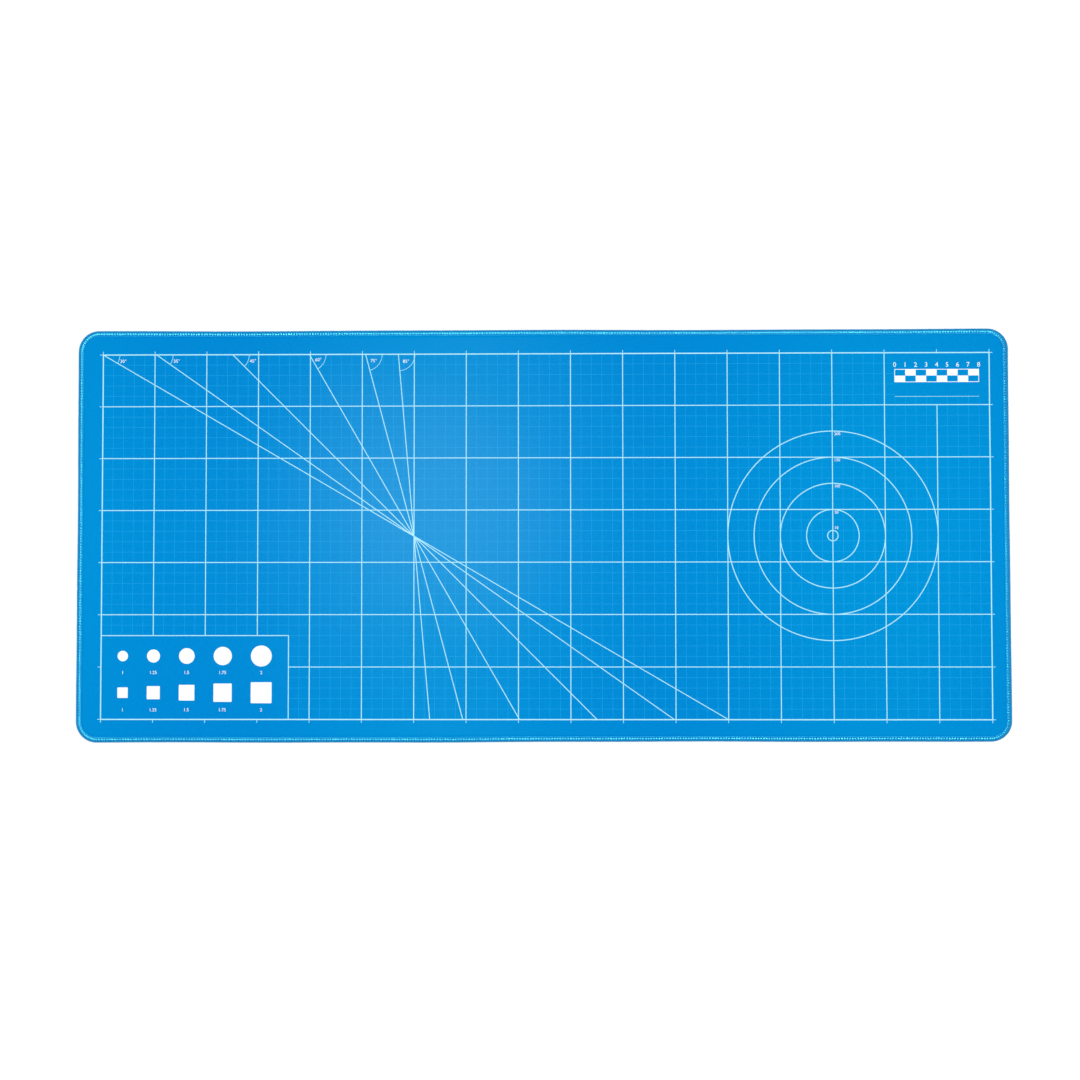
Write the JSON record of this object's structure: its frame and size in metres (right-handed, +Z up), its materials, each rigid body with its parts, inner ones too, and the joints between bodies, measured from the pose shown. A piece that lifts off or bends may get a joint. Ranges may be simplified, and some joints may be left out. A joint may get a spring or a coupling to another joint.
{
  "type": "desk mat",
  "caption": "Flat desk mat of printed cloth bonded to foamed rubber, with rounded corners and an overlocked edge, ruled with a grid, angles and circles for laying out work.",
  "frame": {"origin": "centre of the underside, on the surface that the mat rests on", "axes": "+X along the length, towards the right of someone reading the printed numerals; +Y away from that person; +Z up, out of the printed side"},
  "size_m": [0.893, 0.395, 0.0041],
  "materials": {
    "foamed_rubber": "black foamed natural rubber, matt, embossed anti-slip underside",
    "bond_film": "thin milky hot-melt film",
    "knit_cloth": "fine polyester knit, dyed blue, ruled lines left white",
    "sewing_thread": "twisted polyester sewing thread, blue, slight sheen"
  },
  "bodies": {
    "root": {"rubber_base": "foamed_rubber", "adhesive_film": "bond_film", "printed_cloth": "knit_cloth", "needle_thread": "sewing_thread", "upper_looper_thread": "sewing_thread", "lower_looper_thread": "sewing_thread"}
  },
  "joints": []
}
